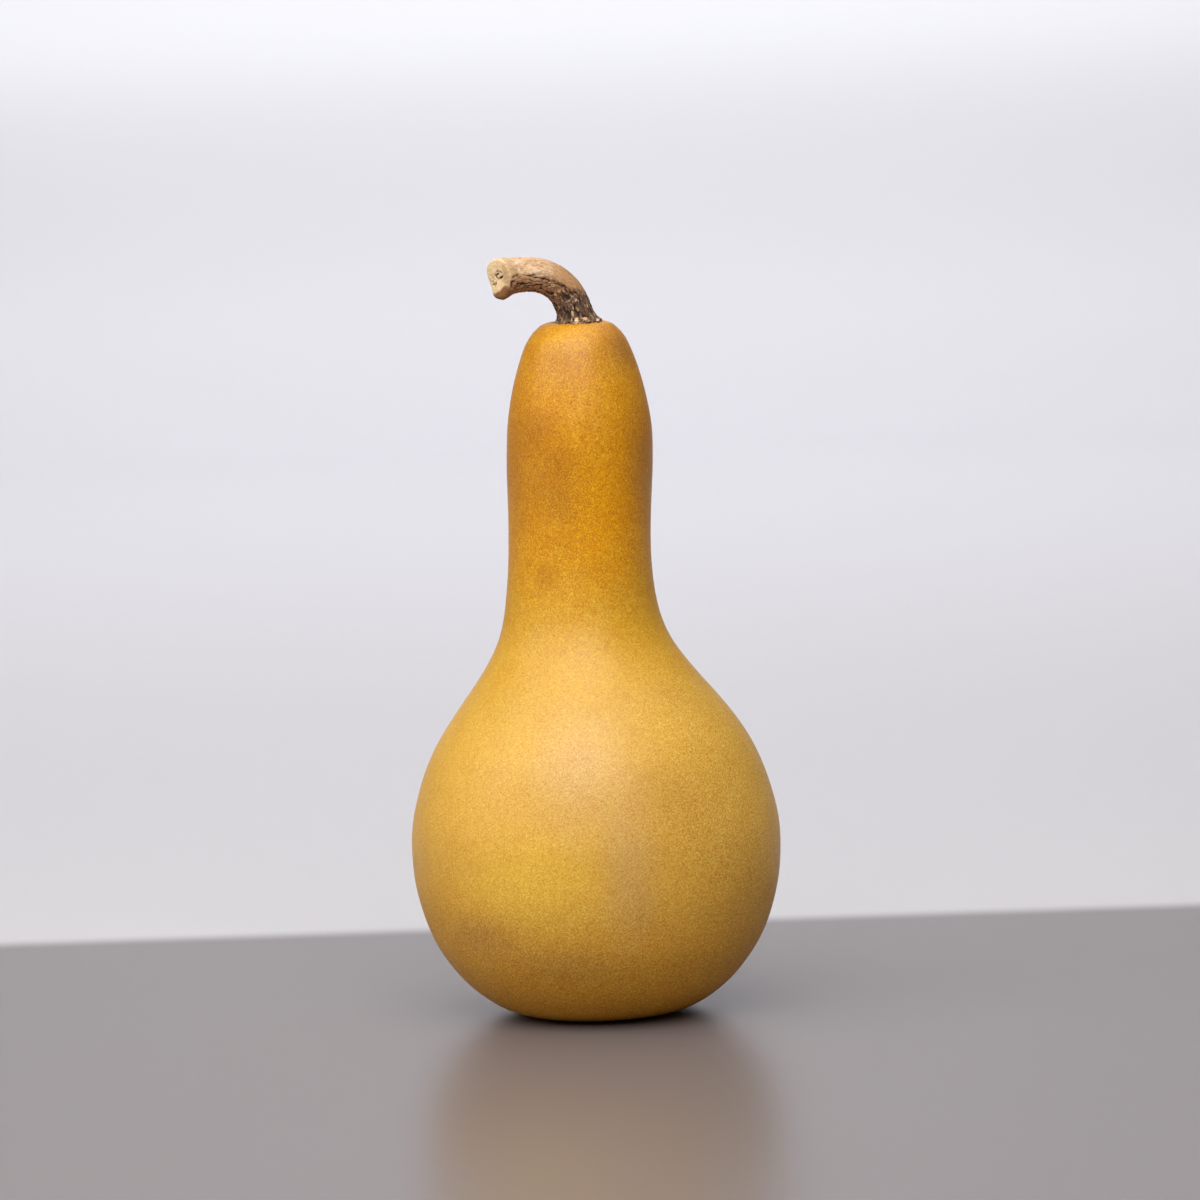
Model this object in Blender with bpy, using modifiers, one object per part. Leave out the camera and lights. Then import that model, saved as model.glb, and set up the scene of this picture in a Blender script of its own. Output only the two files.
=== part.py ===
"""Dried bottle gourd that stands on its own base, with its curved stalk still on.

Metres, +Z up. The origin is the middle of the flat spot that the gourd stands on, and the
stalk bends towards -X and a little towards -Y, which is the side that faces the viewer.
"""

import math

import bmesh
import bpy
import numpy as np

# Driving dimensions of the fruit
BELLY_RADIUS = 0.0487
BELLY_HEIGHT = 0.0445
WAIST_RADIUS = 0.0188
WAIST_HEIGHT = 0.1280
NECK_RADIUS = 0.0193
NECK_HEIGHT = 0.1520
CROWN_HEIGHT = 0.1828
STANDING_RADIUS = 0.0170
SCAR_RIM_RADIUS = 0.0085
SEAT_RADIUS = 0.0066
SEAT_DEPTH = 0.0009
# The belly is a little flatter from front to back than from side to side
FLATTER_IN_DEPTH = 0.015

# Driving dimensions of the stalk
STALK_RADIUS = 0.0044
STALK_FOOT_RADIUS = 0.0062
STALK_KNUCKLE_RADIUS = 0.0055
STALK_RIDGES = 5
RIDGE_DEPTH = 0.07
FIT_GAP = 0.0003

# How finely the curved surfaces are divided
SIDES_OF_FRUIT = 64
STEPS_BETWEEN_STATIONS = 3
SIDES_OF_STALK = 30
STEPS_ALONG_STALK = 3

# Points closer than this are one point, and edges sharper than this stay crisp
WELD_DISTANCE = 0.00002
CRISP_ANGLE = math.radians(50)

# Outline of the fruit from the seat of the stalk down to the flat spot: radius, height
OUTLINE = (
    (0.0097, 0.1818),
    (0.0147, 0.1734),
    (0.0178, 0.1630),
    (NECK_RADIUS, NECK_HEIGHT),
    (WAIST_RADIUS, WAIST_HEIGHT),
    (0.0197, 0.1113),
    (0.0222, 0.1005),
    (0.0272, 0.0917),
    (0.0405, 0.0732),
    (0.0470, 0.0570),
    (BELLY_RADIUS, BELLY_HEIGHT),
    (0.0460, 0.0270),
    (0.0395, 0.0138),
    (0.0300, 0.0043),
    (0.0222, 0.0007),
)

# The blossom scar under the base, from its rim to the axis: a nub in a shallow dimple
SCAR_OUTLINE = (
    (0.0058, 0.0011),
    (0.0034, 0.0014),
    (0.0019, 0.0007),
)
SCAR_NUB_HEIGHT = 0.0005

# Sideways drift of the fruit's middle as it grew: height, shift in X, shift in Y
DRIFT = (
    (0.075, 0.0000, 0.0000),
    (0.112, -0.0019, 0.0006),
    (0.170, -0.0005, 0.0003),
)

# Route of the stalk from the middle of the crown: x, y, rise over the crown, radius
STALK_ROUTE = (
    (0.0000, 0.0000, 0.0006, 0.0053),
    (-0.0003, -0.0002, 0.0020, 0.0046),
    (-0.0013, -0.0003, 0.0052, STALK_RADIUS),
    (-0.0040, -0.0008, 0.0092, 0.0043),
    (-0.0086, -0.0019, 0.0124, 0.0043),
    (-0.0125, -0.0033, 0.0132, 0.0044),
    (-0.0163, -0.0049, 0.0130, 0.0048),
    (-0.0182, -0.0060, 0.0127, 0.0053),
    (-0.0194, -0.0068, 0.0124, STALK_KNUCKLE_RADIUS),
    (-0.0201, -0.0073, 0.0122, 0.0051),
)

RIND_COLOUR = (0.66, 0.35, 0.06, 1.0)
RIND_ROUGHNESS = 0.45
STALK_COLOUR = (0.35, 0.21, 0.11, 1.0)
STALK_ROUGHNESS = 0.8


def clear_scene():
    for obj in list(bpy.data.objects):
        bpy.data.objects.remove(obj)


def new_collection(name):
    collection = bpy.data.collections.new(name)
    bpy.context.scene.collection.children.link(collection)
    return collection


def new_material(name, colour, roughness):
    material = bpy.data.materials.new(name)
    material.use_nodes = True
    shader = material.node_tree.nodes["Principled BSDF"]
    shader.inputs["Base Color"].default_value = colour
    shader.inputs["Roughness"].default_value = roughness
    shader.inputs["Metallic"].default_value = 0.0
    return material


def bezier_through(name, points, sharp, steps):
    """A curve through the points, smooth everywhere but at the indices in sharp."""
    data = bpy.data.curves.new(name, "CURVE")
    data.dimensions = "3D"
    data.resolution_u = steps
    spline = data.splines.new("BEZIER")
    spline.bezier_points.add(len(points) - 1)
    for index, (knot, place) in enumerate(zip(spline.bezier_points, points)):
        knot.co = place
        handle = "VECTOR" if index in sharp else "AUTO"
        knot.handle_left_type = handle
        knot.handle_right_type = handle
    return bpy.data.objects.new(name, data)


def fruit_outline():
    """Points of the outline from the axis at the top, down its outer side, to the axis below."""
    seat_floor = CROWN_HEIGHT - SEAT_DEPTH
    top = [(0.0, seat_floor), (SEAT_RADIUS, seat_floor), (SEAT_RADIUS, CROWN_HEIGHT)]
    foot = [(STANDING_RADIUS, 0.0), (SCAR_RIM_RADIUS, 0.0)]
    scar = [*SCAR_OUTLINE, (0.0, SCAR_NUB_HEIGHT)]
    places = [*top, *OUTLINE, *foot, *scar]
    first_foot = len(top) + len(OUTLINE)
    sharp = {0, 1, 2, first_foot, first_foot + 1, len(places) - 1}
    return [(radius, 0.0, height) for radius, height in places], sharp


def drift_at(heights):
    """Shift in X and Y at each height, easing out of one named height and into the next."""
    shift = np.zeros((len(heights), 2))
    for below, above in zip(DRIFT, DRIFT[1:]):
        share = np.clip((heights - below[0]) / (above[0] - below[0]), 0.0, 1.0)
        eased = share * share * (3.0 - 2.0 * share)
        shift += np.outer(eased, np.subtract(above[1:], below[1:]))
    return shift


def grow(mesh):
    """Flattens the belly and moves the points sideways, so that it is no perfect turning."""
    places = np.empty(len(mesh.vertices) * 3)
    mesh.vertices.foreach_get("co", places)
    places = places.reshape(-1, 3)
    heights = places[:, 2].copy()
    from_belly = np.clip(heights / BELLY_HEIGHT - 1.0, -1.0, 1.0)
    belly = 0.5 + 0.5 * np.cos(math.pi * from_belly)
    places[:, 1] *= 1.0 - FLATTER_IN_DEPTH * belly
    places[:, :2] += drift_at(heights)
    mesh.vertices.foreach_set("co", places.ravel())
    mesh.update()


def finished_mesh(name, helper):
    """The helper object's evaluated mesh, welded, closed and with its faces pointing out."""
    bpy.context.view_layer.update()
    graph = bpy.context.evaluated_depsgraph_get()
    mesh = bpy.data.meshes.new_from_object(helper.evaluated_get(graph))
    mesh.name = name
    shape = bmesh.new()
    shape.from_mesh(mesh)
    bmesh.ops.remove_doubles(shape, verts=shape.verts, dist=WELD_DISTANCE)
    bmesh.ops.recalc_face_normals(shape, faces=shape.faces)
    shape.to_mesh(mesh)
    shape.free()
    bpy.data.objects.remove(helper)
    return mesh


def make_fruit(parts, guides):
    """The fruit: one outline turned round Z, then let drift as it grew."""
    points, sharp = fruit_outline()
    outline = bezier_through("fruit_outline", points, sharp, STEPS_BETWEEN_STATIONS)
    guides.objects.link(outline)
    turn = outline.modifiers.new("turned", "SCREW")
    turn.axis = "Z"
    turn.angle = math.tau
    turn.steps = SIDES_OF_FRUIT
    turn.render_steps = SIDES_OF_FRUIT
    turn.use_merge_vertices = True
    turn.merge_threshold = WELD_DISTANCE
    mesh = finished_mesh("gourd", outline)
    grow(mesh)
    mesh.shade_smooth()
    mesh.set_sharp_from_angle(angle=CRISP_ANGLE)
    mesh.materials.append(new_material("dried_rind", RIND_COLOUR, RIND_ROUGHNESS))
    fruit = bpy.data.objects.new("gourd", mesh)
    parts.objects.link(fruit)
    return fruit


def ridged_section(guides):
    """The stalk's cross-section at unit radius: a round with blunt ridges."""
    data = bpy.data.curves.new("stalk_section", "CURVE")
    data.dimensions = "2D"
    spline = data.splines.new("POLY")
    spline.points.add(SIDES_OF_STALK - 1)
    for index, point in enumerate(spline.points):
        angle = math.tau * index / SIDES_OF_STALK
        radius = 1.0 + RIDGE_DEPTH * (math.cos(STALK_RIDGES * angle) - 1.0) / 2.0
        point.co = (radius * math.cos(angle), radius * math.sin(angle), 0.0, 1.0)
    spline.use_cyclic_u = True
    section = bpy.data.objects.new("stalk_section", data)
    section.hide_render = True
    section.display_type = "WIRE"
    guides.objects.link(section)
    return section


def stalk_stations():
    """The stalk's route with its radius, from the foot in the seat to the cut end."""
    crown_x, crown_y = drift_at(np.array([CROWN_HEIGHT]))[0]
    floor_of_foot = CROWN_HEIGHT - SEAT_DEPTH + FIT_GAP
    stations = [(crown_x, crown_y, floor_of_foot, STALK_FOOT_RADIUS)]
    for x, y, rise, radius in STALK_ROUTE:
        stations.append((crown_x + x, crown_y + y, CROWN_HEIGHT + rise, radius))
    return stations


def make_stalk(parts, guides):
    """The stalk: the ridged section swept along its route, swollen at the foot and the cut end."""
    stations = stalk_stations()
    points = [station[:3] for station in stations]
    route = bezier_through("stalk_route", points, {0}, STEPS_ALONG_STALK)
    guides.objects.link(route)
    for knot, station in zip(route.data.splines[0].bezier_points, stations):
        knot.radius = station[3]
    route.data.bevel_mode = "OBJECT"
    route.data.bevel_object = ridged_section(guides)
    route.data.use_fill_caps = True
    route.data.twist_mode = "MINIMUM"
    mesh = finished_mesh("stem", route)
    mesh.shade_smooth()
    mesh.set_sharp_from_angle(angle=CRISP_ANGLE)
    mesh.materials.append(new_material("dried_stalk", STALK_COLOUR, STALK_ROUGHNESS))
    stalk = bpy.data.objects.new("stem", mesh)
    parts.objects.link(stalk)
    return stalk


def main():
    clear_scene()
    parts = new_collection("dried_bottle_gourd")
    guides = new_collection("guides")
    make_fruit(parts, guides)
    make_stalk(parts, guides)


main()
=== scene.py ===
# %% [markdown]
# # Dressing a dried bottle gourd
#
# The solids of this gourd are already fixed: a plain fruit and a plain stalk, at their real
# size. This lesson leaves them where they are and makes the two skins that the eye sees, a
# smooth waxy rind and a wrinkled woody stalk. Each step first says what the real thing is
# like, then how Blender can make it. Lengths are metres, except in the tables that say
# millimetres, and up is +Z.

# %% Load the fixed solids
import math

import bmesh
import bpy
import numpy as np
from mathutils import Euler, Matrix, Vector, noise


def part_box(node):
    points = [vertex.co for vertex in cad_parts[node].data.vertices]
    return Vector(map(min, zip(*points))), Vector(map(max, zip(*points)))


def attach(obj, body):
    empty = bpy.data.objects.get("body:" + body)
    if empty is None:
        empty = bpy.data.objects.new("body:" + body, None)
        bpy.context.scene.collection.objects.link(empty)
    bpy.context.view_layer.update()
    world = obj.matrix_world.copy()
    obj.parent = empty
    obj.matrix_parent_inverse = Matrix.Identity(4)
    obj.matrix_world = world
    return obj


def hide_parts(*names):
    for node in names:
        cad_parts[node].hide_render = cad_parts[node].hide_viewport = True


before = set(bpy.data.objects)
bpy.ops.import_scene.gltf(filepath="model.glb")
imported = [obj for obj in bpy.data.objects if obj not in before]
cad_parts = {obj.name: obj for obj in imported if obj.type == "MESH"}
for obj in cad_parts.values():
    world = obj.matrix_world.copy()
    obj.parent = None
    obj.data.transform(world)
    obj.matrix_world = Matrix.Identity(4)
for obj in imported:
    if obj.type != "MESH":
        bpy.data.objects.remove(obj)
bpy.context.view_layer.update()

scene = bpy.context.scene
MM = 0.001
gourd_low, gourd_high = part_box("gourd")
stem_low, stem_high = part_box("stem")
print("gourd", [round(v / MM, 1) for v in gourd_high - gourd_low], "mm")
print("stem", [round(v / MM, 1) for v in stem_high - stem_low], "mm")

# %% [markdown]
# ## The camera
#
# The picture was taken from well back with a long lens, a little above the gourd, and with
# the camera held slightly off level. A long lens keeps the neck and the belly at the same
# scale. The camera looks at a point near the middle of the gourd, and then rolls.

# %% Camera
CAMERA_DISTANCE = 1.8
CAMERA_ELEVATION = math.radians(6.5)
CAMERA_ROLL = math.radians(-1.9)
CAMERA_LENS = 204.9
CAMERA_SENSOR = 36.0
CAMERA_AIM = Vector((0.0031, 0.0010, 0.1091))


def add_object(name, data):
    """Puts a new mesh, lamp or camera into the scene under a name."""
    thing = bpy.data.objects.new(name, data)
    scene.collection.objects.link(thing)
    return thing


def make_camera():
    data = bpy.data.cameras.new("camera")
    data.lens = CAMERA_LENS
    data.sensor_width = CAMERA_SENSOR
    camera = add_object("camera", data)
    back = Vector((0.0, -math.cos(CAMERA_ELEVATION), math.sin(CAMERA_ELEVATION)))
    camera.location = CAMERA_AIM + CAMERA_DISTANCE * back
    level = Euler((math.radians(90) - CAMERA_ELEVATION, 0.0, 0.0)).to_matrix()
    rolled = level @ Matrix.Rotation(CAMERA_ROLL, 3, "Z")
    camera.rotation_euler = rolled.to_euler()
    return camera


camera = make_camera()
scene.camera = camera
print("camera at", [round(v, 3) for v in camera.location])

# %% [markdown]
# ## Small tools for materials
#
# A material is a tree of nodes. These helpers add a node, set or link its inputs, and give
# back the socket that the next node needs, so that a material reads like a short recipe.

# %% Wire nodes


def wire(tree, node, values):
    """Sets inputs of a node, or links them where the value is a socket. Colours are opaque."""
    for key, value in values.items():
        socket = node.inputs[key]
        if isinstance(value, bpy.types.NodeSocket):
            tree.links.new(value, socket)
        else:
            socket.default_value = (*value, 1.0) if socket.type == "RGBA" else value


def add_node(tree, kind, values=None, **settings):
    """Adds a node, sets its properties, and wires its inputs."""
    node = tree.nodes.new(kind)
    for key, value in settings.items():
        setattr(node, key, value)
    wire(tree, node, values or {})
    return node


def mix_colours(tree, share, first, second, blend="MIX"):
    """A colour mix. Share, first and second are values or sockets."""
    values = {0: share, 6: first, 7: second}
    node = add_node(tree, "ShaderNodeMix", values, data_type="RGBA", blend_type=blend)
    return node.outputs[2]


def lay_over(tree, colour, *layers):
    """Lays layers over a colour, one by one. Each is a share from 0 to 1 and a colour."""
    for share, over in layers:
        colour = mix_colours(tree, share, colour, over)
    return colour


def to_range(tree, value, low, high, new_low=0.0, new_high=1.0, smooth=True):
    """Turns low to high into new_low to new_high, and stops at both ends."""
    values = {"Value": value, "From Min": low, "From Max": high, "To Min": new_low, "To Max": new_high}
    kind = "SMOOTHSTEP" if smooth else "LINEAR"
    return add_node(tree, "ShaderNodeMapRange", values, interpolation_type=kind).outputs["Result"]


def arithmetic(tree, operation, *values):
    return add_node(tree, "ShaderNodeMath", dict(enumerate(values)), operation=operation).outputs[0]


def vector_arithmetic(tree, operation, *values):
    """The same for vectors. Output 0 is the vector, and "Value" is a length."""
    return add_node(tree, "ShaderNodeVectorMath", dict(enumerate(values)), operation=operation).outputs


def new_material(name):
    """A material, its tree of nodes and its shader."""
    material = bpy.data.materials.new(name)
    material.use_nodes = True
    return material, material.node_tree, material.node_tree.nodes["Principled BSDF"]


# %% [markdown]
# ## Room and light
#
# The gourd stands on a plain sheet that runs back level and then curves up. The sheet is mid
# grey round the gourd and pale from just behind it, which sets the gourd off. The light is
# soft: a broad window high in front, a weaker one on the left, and a pale ceiling. Low in
# front the room is dark, so that the neck keeps its deep colour: a smooth upright surface
# mirrors what lies there. One more lamp lifts the back of the sheet. Area lamps make soft
# shadows because they have a size. How bright a lamp looks is its power over its size, so each
# is given as brightness and size, and the power follows.

# %% Floor and backdrop in one curved sheet
FLOOR_HALF_WIDTH = 1.0
FLOOR_FRONT = -0.60
FLOOR_BACK = 1.60
BEND_RADIUS = 0.50
BEND_STEPS = 24
BACKDROP_TOP = 1.5
FLOOR_COLOUR = (0.172, 0.150, 0.150)
BACKDROP_COLOUR = (0.555, 0.540, 0.563)
BACKDROP_STARTS = (0.130, 0.150)
FLOOR_ROUGHNESS = 0.30
FLOOR_SHINE = 0.50


def floor_profile():
    """Points of the sheet from front to top, as pairs of y and z."""
    points = [(FLOOR_FRONT, 0.0)]
    for step in range(BEND_STEPS + 1):
        angle = 0.5 * math.pi * step / BEND_STEPS
        y = FLOOR_BACK + BEND_RADIUS * math.sin(angle)
        z = BEND_RADIUS * (1.0 - math.cos(angle))
        points.append((y, z))
    points.append((FLOOR_BACK + BEND_RADIUS, BACKDROP_TOP))
    return points


def make_floor():
    profile = floor_profile()
    count = len(profile)
    points = [(x, y, z) for x in (-FLOOR_HALF_WIDTH, FLOOR_HALF_WIDTH) for y, z in profile]
    faces = [(i, i + count, i + count + 1, i + 1) for i in range(count - 1)]
    mesh = bpy.data.meshes.new("floor")
    mesh.from_pydata(points, [], faces)
    mesh.shade_smooth()
    material, tree, shader = new_material("pale_floor")
    places = add_node(tree, "ShaderNodeTexCoord").outputs["Object"]
    depth = add_node(tree, "ShaderNodeSeparateXYZ", {"Vector": places}).outputs["Y"]
    behind = to_range(tree, depth, *BACKDROP_STARTS)
    colour = mix_colours(tree, behind, FLOOR_COLOUR, BACKDROP_COLOUR)
    looks = {"Base Color": colour, "Roughness": FLOOR_ROUGHNESS, "Specular IOR Level": FLOOR_SHINE}
    wire(tree, shader, looks)
    mesh.materials.append(material)
    floor = add_object("floor", mesh)
    return floor


floor = make_floor()
print("floor faces", len(floor.data.polygons))

# %% Lamps: name, place by azimuth and elevation in degrees, distance, width, height, brightness
LAMP_TARGET = Vector((0.0, 0.0, 0.10))
LAMPS = (
    ("window", 0, 49, 1.6, 1.35, 1.15, 3.5),
    ("window_left", -64, 38, 1.8, 1.6, 1.3, 1.9),
    ("ceiling", 180, 82, 1.9, 2.6, 2.6, 1.0),
)
LAMP_COLOUR = (1.0, 0.985, 0.965)
BACKDROP_LAMP = {
    "place": Vector((0.0, 1.25, 1.5)),
    "target": Vector((0.0, 1.75, 0.1)),
    "size": (1.4, 0.9),
    "brightness": 1.5,
    "colour": (0.91, 0.945, 1.0),
    "spread": math.radians(100),
}
ROOM_COLOUR = (0.90, 0.93, 1.0)
ROOM_STRENGTH = 0.12


def make_lamp(name, place, target, size, brightness, colour, spread=math.pi):
    """An area lamp that looks at its target."""
    data = bpy.data.lights.new(name, "AREA")
    data.shape = "RECTANGLE"
    data.size, data.size_y = size
    data.energy = 4.0 * size[0] * size[1] * brightness
    data.spread = spread
    data.color = colour
    lamp = add_object(name, data)
    lamp.location = place
    lamp.rotation_euler = (target - place).to_track_quat("-Z", "Y").to_euler()


def place_round_gourd(azimuth, elevation, distance):
    """A place on a sphere round the gourd. Azimuth 0 is the viewer's side, -90 the left."""
    around = math.radians(azimuth)
    above = math.radians(elevation)
    flat = math.cos(above)
    away = Vector((math.sin(around) * flat, -math.cos(around) * flat, math.sin(above)))
    return LAMP_TARGET + distance * away


for name, azimuth, elevation, distance, width, height, brightness in LAMPS:
    lamp_place = place_round_gourd(azimuth, elevation, distance)
    make_lamp(name, lamp_place, LAMP_TARGET, (width, height), brightness, LAMP_COLOUR)
make_lamp("backdrop_lamp", **BACKDROP_LAMP)
world = bpy.data.worlds.new("soft_room")
scene.world = world
world.use_nodes = True
room = world.node_tree.nodes["Background"]
wire(world.node_tree, room, {"Color": ROOM_COLOUR, "Strength": ROOM_STRENGTH})
scene.view_settings.view_transform = "Standard"
print("lamps", len(LAMPS) + 1)

# %% [markdown]
# ## Small tools for meshes
#
# Both skins are shaped by moving points with arithmetic. It is quickest to read all the
# points into one array, work on the array, and write it back. Noise from mathutils is smooth
# and repeats exactly, so the same gourd grows every time.

# %% Read, write and measure points


def read_points(mesh, field="co"):
    """One row a point: its place, or its normal with that field."""
    values = np.empty(len(mesh.vertices) * 3)
    mesh.vertices.foreach_get(field, values)
    return values.reshape(-1, 3)


def write_points(mesh, places):
    mesh.vertices.foreach_set("co", places.ravel())
    mesh.update()


def ease(value, low, high):
    """0 below low, 1 above high, and a smooth rise between them."""
    share = np.clip((value - low) / (high - low), 0.0, 1.0)
    return share * share * (3.0 - 2.0 * share)


def amount_at(steps, rows):
    """The amount at each step, such as a height, easing out of one row and into the next."""
    amount = np.full_like(steps, rows[0][1])
    for (low, before), (high, after) in zip(rows, rows[1:]):
        amount += (after - before) * ease(steps, low, high)
    return amount


def noise_at(places, size, shift):
    """Smooth noise from about -1 to 1 at each place. Its lumps are about size across."""
    moved = (places / size + np.array(shift)).reshape(-1, 3)
    return np.array([noise.noise(Vector(point)) for point in moved]).reshape(places.shape[:-1])


def store(mesh, name, values, kind="FLOAT", field="value"):
    """Keeps a number, or with another kind a vector, for each point, for the material to read."""
    layer = mesh.attributes.new(name, kind, "POINT")
    layer.data.foreach_set(field, np.asarray(values, dtype=np.float32).ravel())


# %% [markdown]
# ## The shape of the rind
#
# A dried gourd looks turned on a lathe, but it never is. Its skin has broad, very shallow
# swells, a pucker where it meets the stalk, and a small corky scar below where the flower
# was. The fixed solid has the right form in flat facets. So the skin starts as a copy of it:
# triangles are joined to squares and subdivided, which rounds the facets away and follows the
# solid everywhere, a little inside it. Then the skin is filled out again where it shrank and
# where the shoulders of this gourd are full, gets its swells, and is kept inside the solid's
# width and depth. All these changes are fractions of a millimetre.

# %% A finer copy of the solid
RIND_LEVELS = 2
WELD = 0.000001
JOIN_ANGLE = math.radians(35)


def finer_copy(node, name, levels):
    """A smooth, closed copy of a node's mesh, with each square split levels times."""
    shape = bmesh.new()
    shape.from_mesh(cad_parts[node].data)
    bmesh.ops.remove_doubles(shape, verts=shape.verts, dist=WELD)
    bmesh.ops.join_triangles(
        shape, faces=shape.faces, angle_face_threshold=JOIN_ANGLE, angle_shape_threshold=math.pi
    )
    coarse = bpy.data.meshes.new(name + "_coarse")
    shape.to_mesh(coarse)
    shape.free()
    if "custom_normal" in coarse.attributes:
        coarse.attributes.remove(coarse.attributes["custom_normal"])
    helper = add_object(name + "_coarse", coarse)
    finer = helper.modifiers.new("finer", "SUBSURF")
    finer.levels = finer.render_levels = levels
    bpy.context.view_layer.update()
    graph = bpy.context.evaluated_depsgraph_get()
    mesh = bpy.data.meshes.new_from_object(helper.evaluated_get(graph))
    mesh.name = name
    mesh.materials.clear()
    bpy.data.objects.remove(helper)
    return add_object(name, mesh)


rind = finer_copy("gourd", "rind_skin", RIND_LEVELS)
print("rind faces", len(rind.data.polygons))

# %% The crown's middle and the seat of the stalk, measured on the solid
SAME_HEIGHT = 0.01 * MM
gourd_points = read_points(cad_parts["gourd"].data)
CROWN_HEIGHT = gourd_high.z
crown_rim = gourd_points[gourd_points[:, 2] > CROWN_HEIGHT - SAME_HEIGHT]
CROWN_X, CROWN_Y = crown_rim[:, :2].mean(axis=0)
SEAT_RADIUS = float(np.hypot(crown_rim[:, 0] - CROWN_X, crown_rim[:, 1] - CROWN_Y).mean())
print("crown middle", round(CROWN_X / MM, 2), round(CROWN_Y / MM, 2), "seat", round(SEAT_RADIUS / MM, 2))

# %% Filling and swells. Fullness and lean are rows of height and amount in millimetres
FULLNESS = MM * np.array((
    (3, 0.00), (20, 0.22), (45, 0.18), (70, 0.24), (82, 0.08),
    (92, -0.10), (150, -0.08), (168, 0.02), (177, 0.32), (183, 0.12),
))
LEAN = MM * np.array(((150, 0.00), (168, -0.26), (175, -0.28), (183, -0.12)))
# Swells: how wide, how high, and where in the noise
SWELLS = ((34 * MM, 0.11 * MM, (3.1, 7.7, 1.3)), (13 * MM, 0.035 * MM, (9.2, 0.4, 5.5)))
SWELL_FADE = (0.8 * MM, 9.0 * MM)


def fill_out(places, normals):
    """Thickens and leans the skin by height, and keeps it within the solid's width and depth."""
    heights = places[:, 2].copy()
    places = places + normals * amount_at(heights, FULLNESS)[:, None]
    places[:, 0] += amount_at(heights, LEAN)
    fade = ease(heights, *SWELL_FADE)
    for size, depth, shift in SWELLS:
        rise = depth * fade * np.clip(noise_at(places, size, shift), -1.0, 1.0)
        places = places + normals * rise[:, None]
    places[:, 0] = np.clip(places[:, 0], gourd_low.x, gourd_high.x)
    places[:, 1] = np.clip(places[:, 1], gourd_low.y, gourd_high.y)
    return places


rind_points = fill_out(read_points(rind.data), read_points(rind.data, "normal"))
print("rind reaches", np.round(np.abs(rind_points).max(axis=0) / MM, 2), "mm")

# %% Pucker and scar
CROWN_BAND = CROWN_HEIGHT - MM * np.array((4, 2))
SEAT_EDGE = SEAT_RADIUS + MM * np.array((-0.2, 0.3))
SEAT_DEPTH = 0.9 * MM
SEAT_LIFT = 0.75 * MM
PUCKER_FOLDS = 11
PUCKER_DEPTH = 0.16 * MM
PUCKER_REACH = 12 * MM
PUCKER_WANDER = 1.6
PUCKER_WANDER_SIZE = 5 * MM
SCAR_BAND = (1.6 * MM, 3.0 * MM)
SCAR_REACH = 8.5 * MM
SCAR_FADE = 2.0 * MM
SCAR_FOLDS = 14
SCAR_DEPTH = 0.12 * MM
SCAR_WANDER = 3.0
SCAR_WANDER_SIZE = 3 * MM


def pucker_crown(places):
    """Raises the seat round the stalk's foot and folds the skin near it, like a drawn purse."""
    across = places[:, 0] - CROWN_X
    deep = places[:, 1] - CROWN_Y
    reach = np.hypot(across, deep)
    at_crown = ease(places[:, 2], *CROWN_BAND)
    in_seat = at_crown * (1.0 - ease(reach, *SEAT_EDGE))
    floor_of_seat = CROWN_HEIGHT - SEAT_DEPTH + SEAT_LIFT
    places[:, 2] += in_seat * np.clip(floor_of_seat - places[:, 2], 0.0, None)
    wander = PUCKER_WANDER * noise_at(places, PUCKER_WANDER_SIZE, (2.0, 2.0, 2.0))
    fold = 0.5 + 0.5 * np.cos(PUCKER_FOLDS * np.arctan2(deep, across) + wander)
    places[:, 2] -= PUCKER_DEPTH * fold * at_crown * (1.0 - ease(reach, SEAT_RADIUS, PUCKER_REACH))
    return places


def crease_scar(places):
    """Fine creases that run into the flower scar under the base."""
    reach = np.hypot(places[:, 0], places[:, 1])
    angle = np.arctan2(places[:, 1], places[:, 0])
    inside = 1.0 - ease(reach, SCAR_REACH - SCAR_FADE, SCAR_REACH)
    inside = inside * (1.0 - ease(places[:, 2], *SCAR_BAND))
    wander = SCAR_WANDER * noise_at(places, SCAR_WANDER_SIZE, (4, 1, 6))
    places[:, 2] += SCAR_DEPTH * (0.5 + 0.5 * np.cos(SCAR_FOLDS * angle + wander)) * inside
    return places


write_points(rind.data, crease_scar(pucker_crown(rind_points)))
rind.data.shade_smooth()
print("rind stands", np.round(rind_points[:, 2].max() / MM, 2), "mm high")

# %% [markdown]
# ## The shape of the stalk
#
# The stalk is woody and dry. It rises out of a flared foot, bends over to one side and ends
# in a swollen knuckle that was cut across. Its bark has five blunt ridges, and it has shrunk
# into long creases, deeper on the shaded flank. A sweep along a curve could make the form,
# but not creases that follow the grain. So the stalk is a grid: rings of points laid along
# the route, each point pushed in or out by what grows there.

# %% The route in millimetres, from the middle of the crown: x, y, rise over the crown, radius
STALK_ROUTE = MM * np.array((
    (0.0, 0.0, -0.6, 4.7),
    (-0.1, 0.0, 0.6, 4.7),
    (-0.6, -0.2, 3.0, 4.7),
    (-1.4, -0.3, 5.2, 4.7),
    (-4.0, -0.8, 9.2, 4.6),
    (-8.6, -1.9, 12.2, 4.6),
    (-12.5, -3.2, 13.0, 4.7),
    (-16.3, -4.6, 13.0, 4.8),
    (-18.4, -5.9, 12.8, 5.0),
    (-20.2, -7.3, 12.6, 5.2),
))
RINGS_ALONG = 250
POINTS_AROUND = 200


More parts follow.
